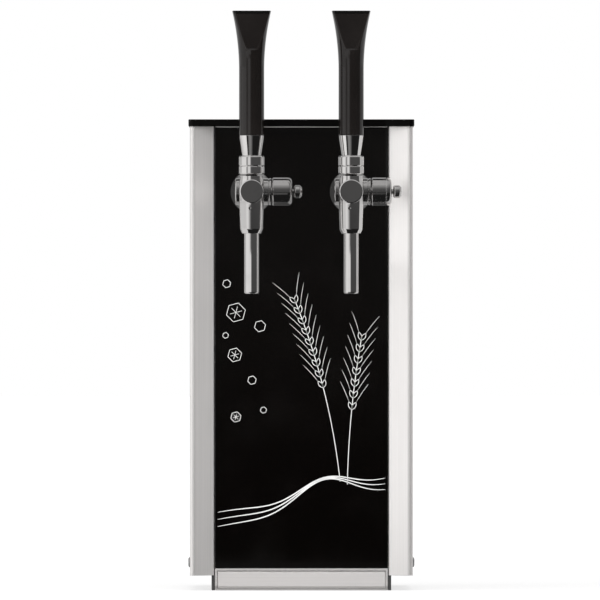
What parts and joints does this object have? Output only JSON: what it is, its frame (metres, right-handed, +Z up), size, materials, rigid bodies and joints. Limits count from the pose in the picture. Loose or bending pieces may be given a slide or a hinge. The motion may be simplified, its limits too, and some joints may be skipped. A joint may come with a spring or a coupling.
{
  "type": "portable beer dispenser",
  "caption": "Countertop beer cooler in a folded stainless case with a black front, lever taps with flow knobs and a slide-out drip tray.",
  "frame": {"origin": "on the table, under the middle of the case", "axes": "+X to the viewer's right, +Y to the back, +Z up; the taps face -Y"},
  "size_m": [0.1974, 0.4647, 0.504],
  "materials": {
    "stainless_sheet": "fine brushed, satin",
    "black_lid": "satin black",
    "black_fascia": "high gloss black with fine pale line art",
    "skid_plastic": "matt dark grey",
    "screw_steel": "plain steel",
    "tap_chrome": "polished chrome plate",
    "handle_black": "gloss black moulding",
    "white_plastic": "food-grade white",
    "foam": "rigid foam",
    "cast_aluminium": "as cast",
    "black_paint": "satin black",
    "rubber": "matt",
    "condenser_paint": "dark grey",
    "fan_plastic": "light grey",
    "dark_plastic": "dark grey",
    "copper": "drawn copper",
    "black_plastic": "satin black"
  },
  "bodies": {
    "case": {"plinth": "stainless_sheet", "left_skid": "skid_plastic", "right_skid": "skid_plastic", "floor_pan": "stainless_sheet", "left_side_panel": "stainless_sheet", "right_side_panel": "stainless_sheet", "front_panel": "stainless_sheet", "front_fascia": "black_fascia", "rear_panel": "stainless_sheet", "lid": "black_lid", "side_screws": "screw_steel", "rear_screws": "screw_steel", "left_rosette": "tap_chrome", "left_flow_body": "tap_chrome", "left_tap_body": "tap_chrome", "left_front_cap": "tap_chrome", "left_spout": "tap_chrome", "right_rosette": "tap_chrome", "right_flow_body": "tap_chrome", "right_tap_body": "tap_chrome", "right_front_cap": "tap_chrome", "right_spout": "tap_chrome", "shank_nuts": "screw_steel", "foam_jacket": "foam", "foam_cap": "foam", "cooling_block": "cast_aluminium", "beer_outlet_lines": "white_plastic", "beer_inlet_lines": "white_plastic", "compressor": "black_paint", "compressor_grommets": "rubber", "condenser": "condenser_paint", "fan_bracket": "condenser_paint", "fan_motor": "black_paint", "air_pump": "dark_plastic", "air_line": "white_plastic", "filter_drier": "copper", "refrigerant_lines": "copper", "beer_inlets": "dark_plastic", "air_outlet": "dark_plastic", "thermostat": "dark_plastic", "switch_frame": "black_plastic", "cord_gland": "black_plastic"},
    "left_tap_lever": {"left_lever": "tap_chrome", "left_pivot_pin": "screw_steel", "left_handle": "handle_black"},
    "left_valve": {"left_valve_stem": "screw_steel"},
    "left_flow_control": {"left_flow_knob": "tap_chrome"},
    "left_flow_throttle": {"left_flow_cone": "white_plastic"},
    "right_tap_lever": {"right_lever": "tap_chrome", "right_pivot_pin": "screw_steel", "right_handle": "handle_black"},
    "right_valve": {"right_valve_stem": "screw_steel"},
    "right_flow_control": {"right_flow_knob": "tap_chrome"},
    "right_flow_throttle": {"right_flow_cone": "white_plastic"},
    "tray": {"drip_tray": "stainless_sheet", "drip_grate": "stainless_sheet"},
    "fan_rotor": {"fan": "fan_plastic"},
    "dial": {"thermostat_knob": "black_plastic"},
    "rocker": {"switch_rocker": "black_plastic"}
  },
  "joints": [
    {"name": "left_lever_tilt", "type": "hinge", "parent": "case", "child": "left_tap_lever", "pos_m": [-0.0432, -0.23188, 0.3689], "axis": [1, 0, 0], "range_deg": [0, 30]},
    {"name": "left_valve_lift", "type": "slide", "parent": "case", "child": "left_valve", "axis": [0, 0, 1], "range_m": [0, 0.0028]},
    {"name": "left_flow_turn", "type": "hinge", "parent": "case", "child": "left_flow_control", "pos_m": [-0.0432, -0.20188, 0.347], "axis": [1, 0, 0], "range_deg": [-40, 40]},
    {"name": "left_throttle_slide", "type": "slide", "parent": "case", "child": "left_flow_throttle", "axis": [0, -1, 0], "range_m": [-0.0015, 0.0015]},
    {"name": "right_lever_tilt", "type": "hinge", "parent": "case", "child": "right_tap_lever", "pos_m": [0.0432, -0.23188, 0.3689], "axis": [1, 0, 0], "range_deg": [0, 30]},
    {"name": "right_valve_lift", "type": "slide", "parent": "case", "child": "right_valve", "axis": [0, 0, 1], "range_m": [0, 0.0028]},
    {"name": "right_flow_turn", "type": "hinge", "parent": "case", "child": "right_flow_control", "pos_m": [0.0432, -0.20188, 0.347], "axis": [1, 0, 0], "range_deg": [-40, 40]},
    {"name": "right_throttle_slide", "type": "slide", "parent": "case", "child": "right_flow_throttle", "axis": [0, -1, 0], "range_m": [-0.0015, 0.0015]},
    {"name": "tray_slide", "type": "slide", "parent": "case", "child": "tray", "axis": [0, -1, 0], "range_m": [0, 0.12]},
    {"name": "fan_spin", "type": "hinge", "parent": "case", "child": "fan_rotor", "pos_m": [0, 0.12, 0.1362], "axis": [0, 1, 0], "continuous": true},
    {"name": "dial_turn", "type": "hinge", "parent": "case", "child": "dial", "pos_m": [-0.045, 0.1988, 0.295], "axis": [0, 1, 0], "range_deg": [-135, 135]},
    {"name": "rocker_tilt", "type": "hinge", "parent": "case", "child": "rocker", "pos_m": [0.045, 0.1868, 0.295], "axis": [1, 0, 0], "range_deg": [-10, 0]}
  ],
  "couplings": [
    {"joint": "left_valve_lift", "follows": "left_lever_tilt", "m_per_rad": 0.0052521},
    {"joint": "left_throttle_slide", "follows": "left_flow_turn", "m_per_rad": 0.0020256},
    {"joint": "right_valve_lift", "follows": "right_lever_tilt", "m_per_rad": 0.0052521},
    {"joint": "right_throttle_slide", "follows": "right_flow_turn", "m_per_rad": 0.0020256}
  ]
}
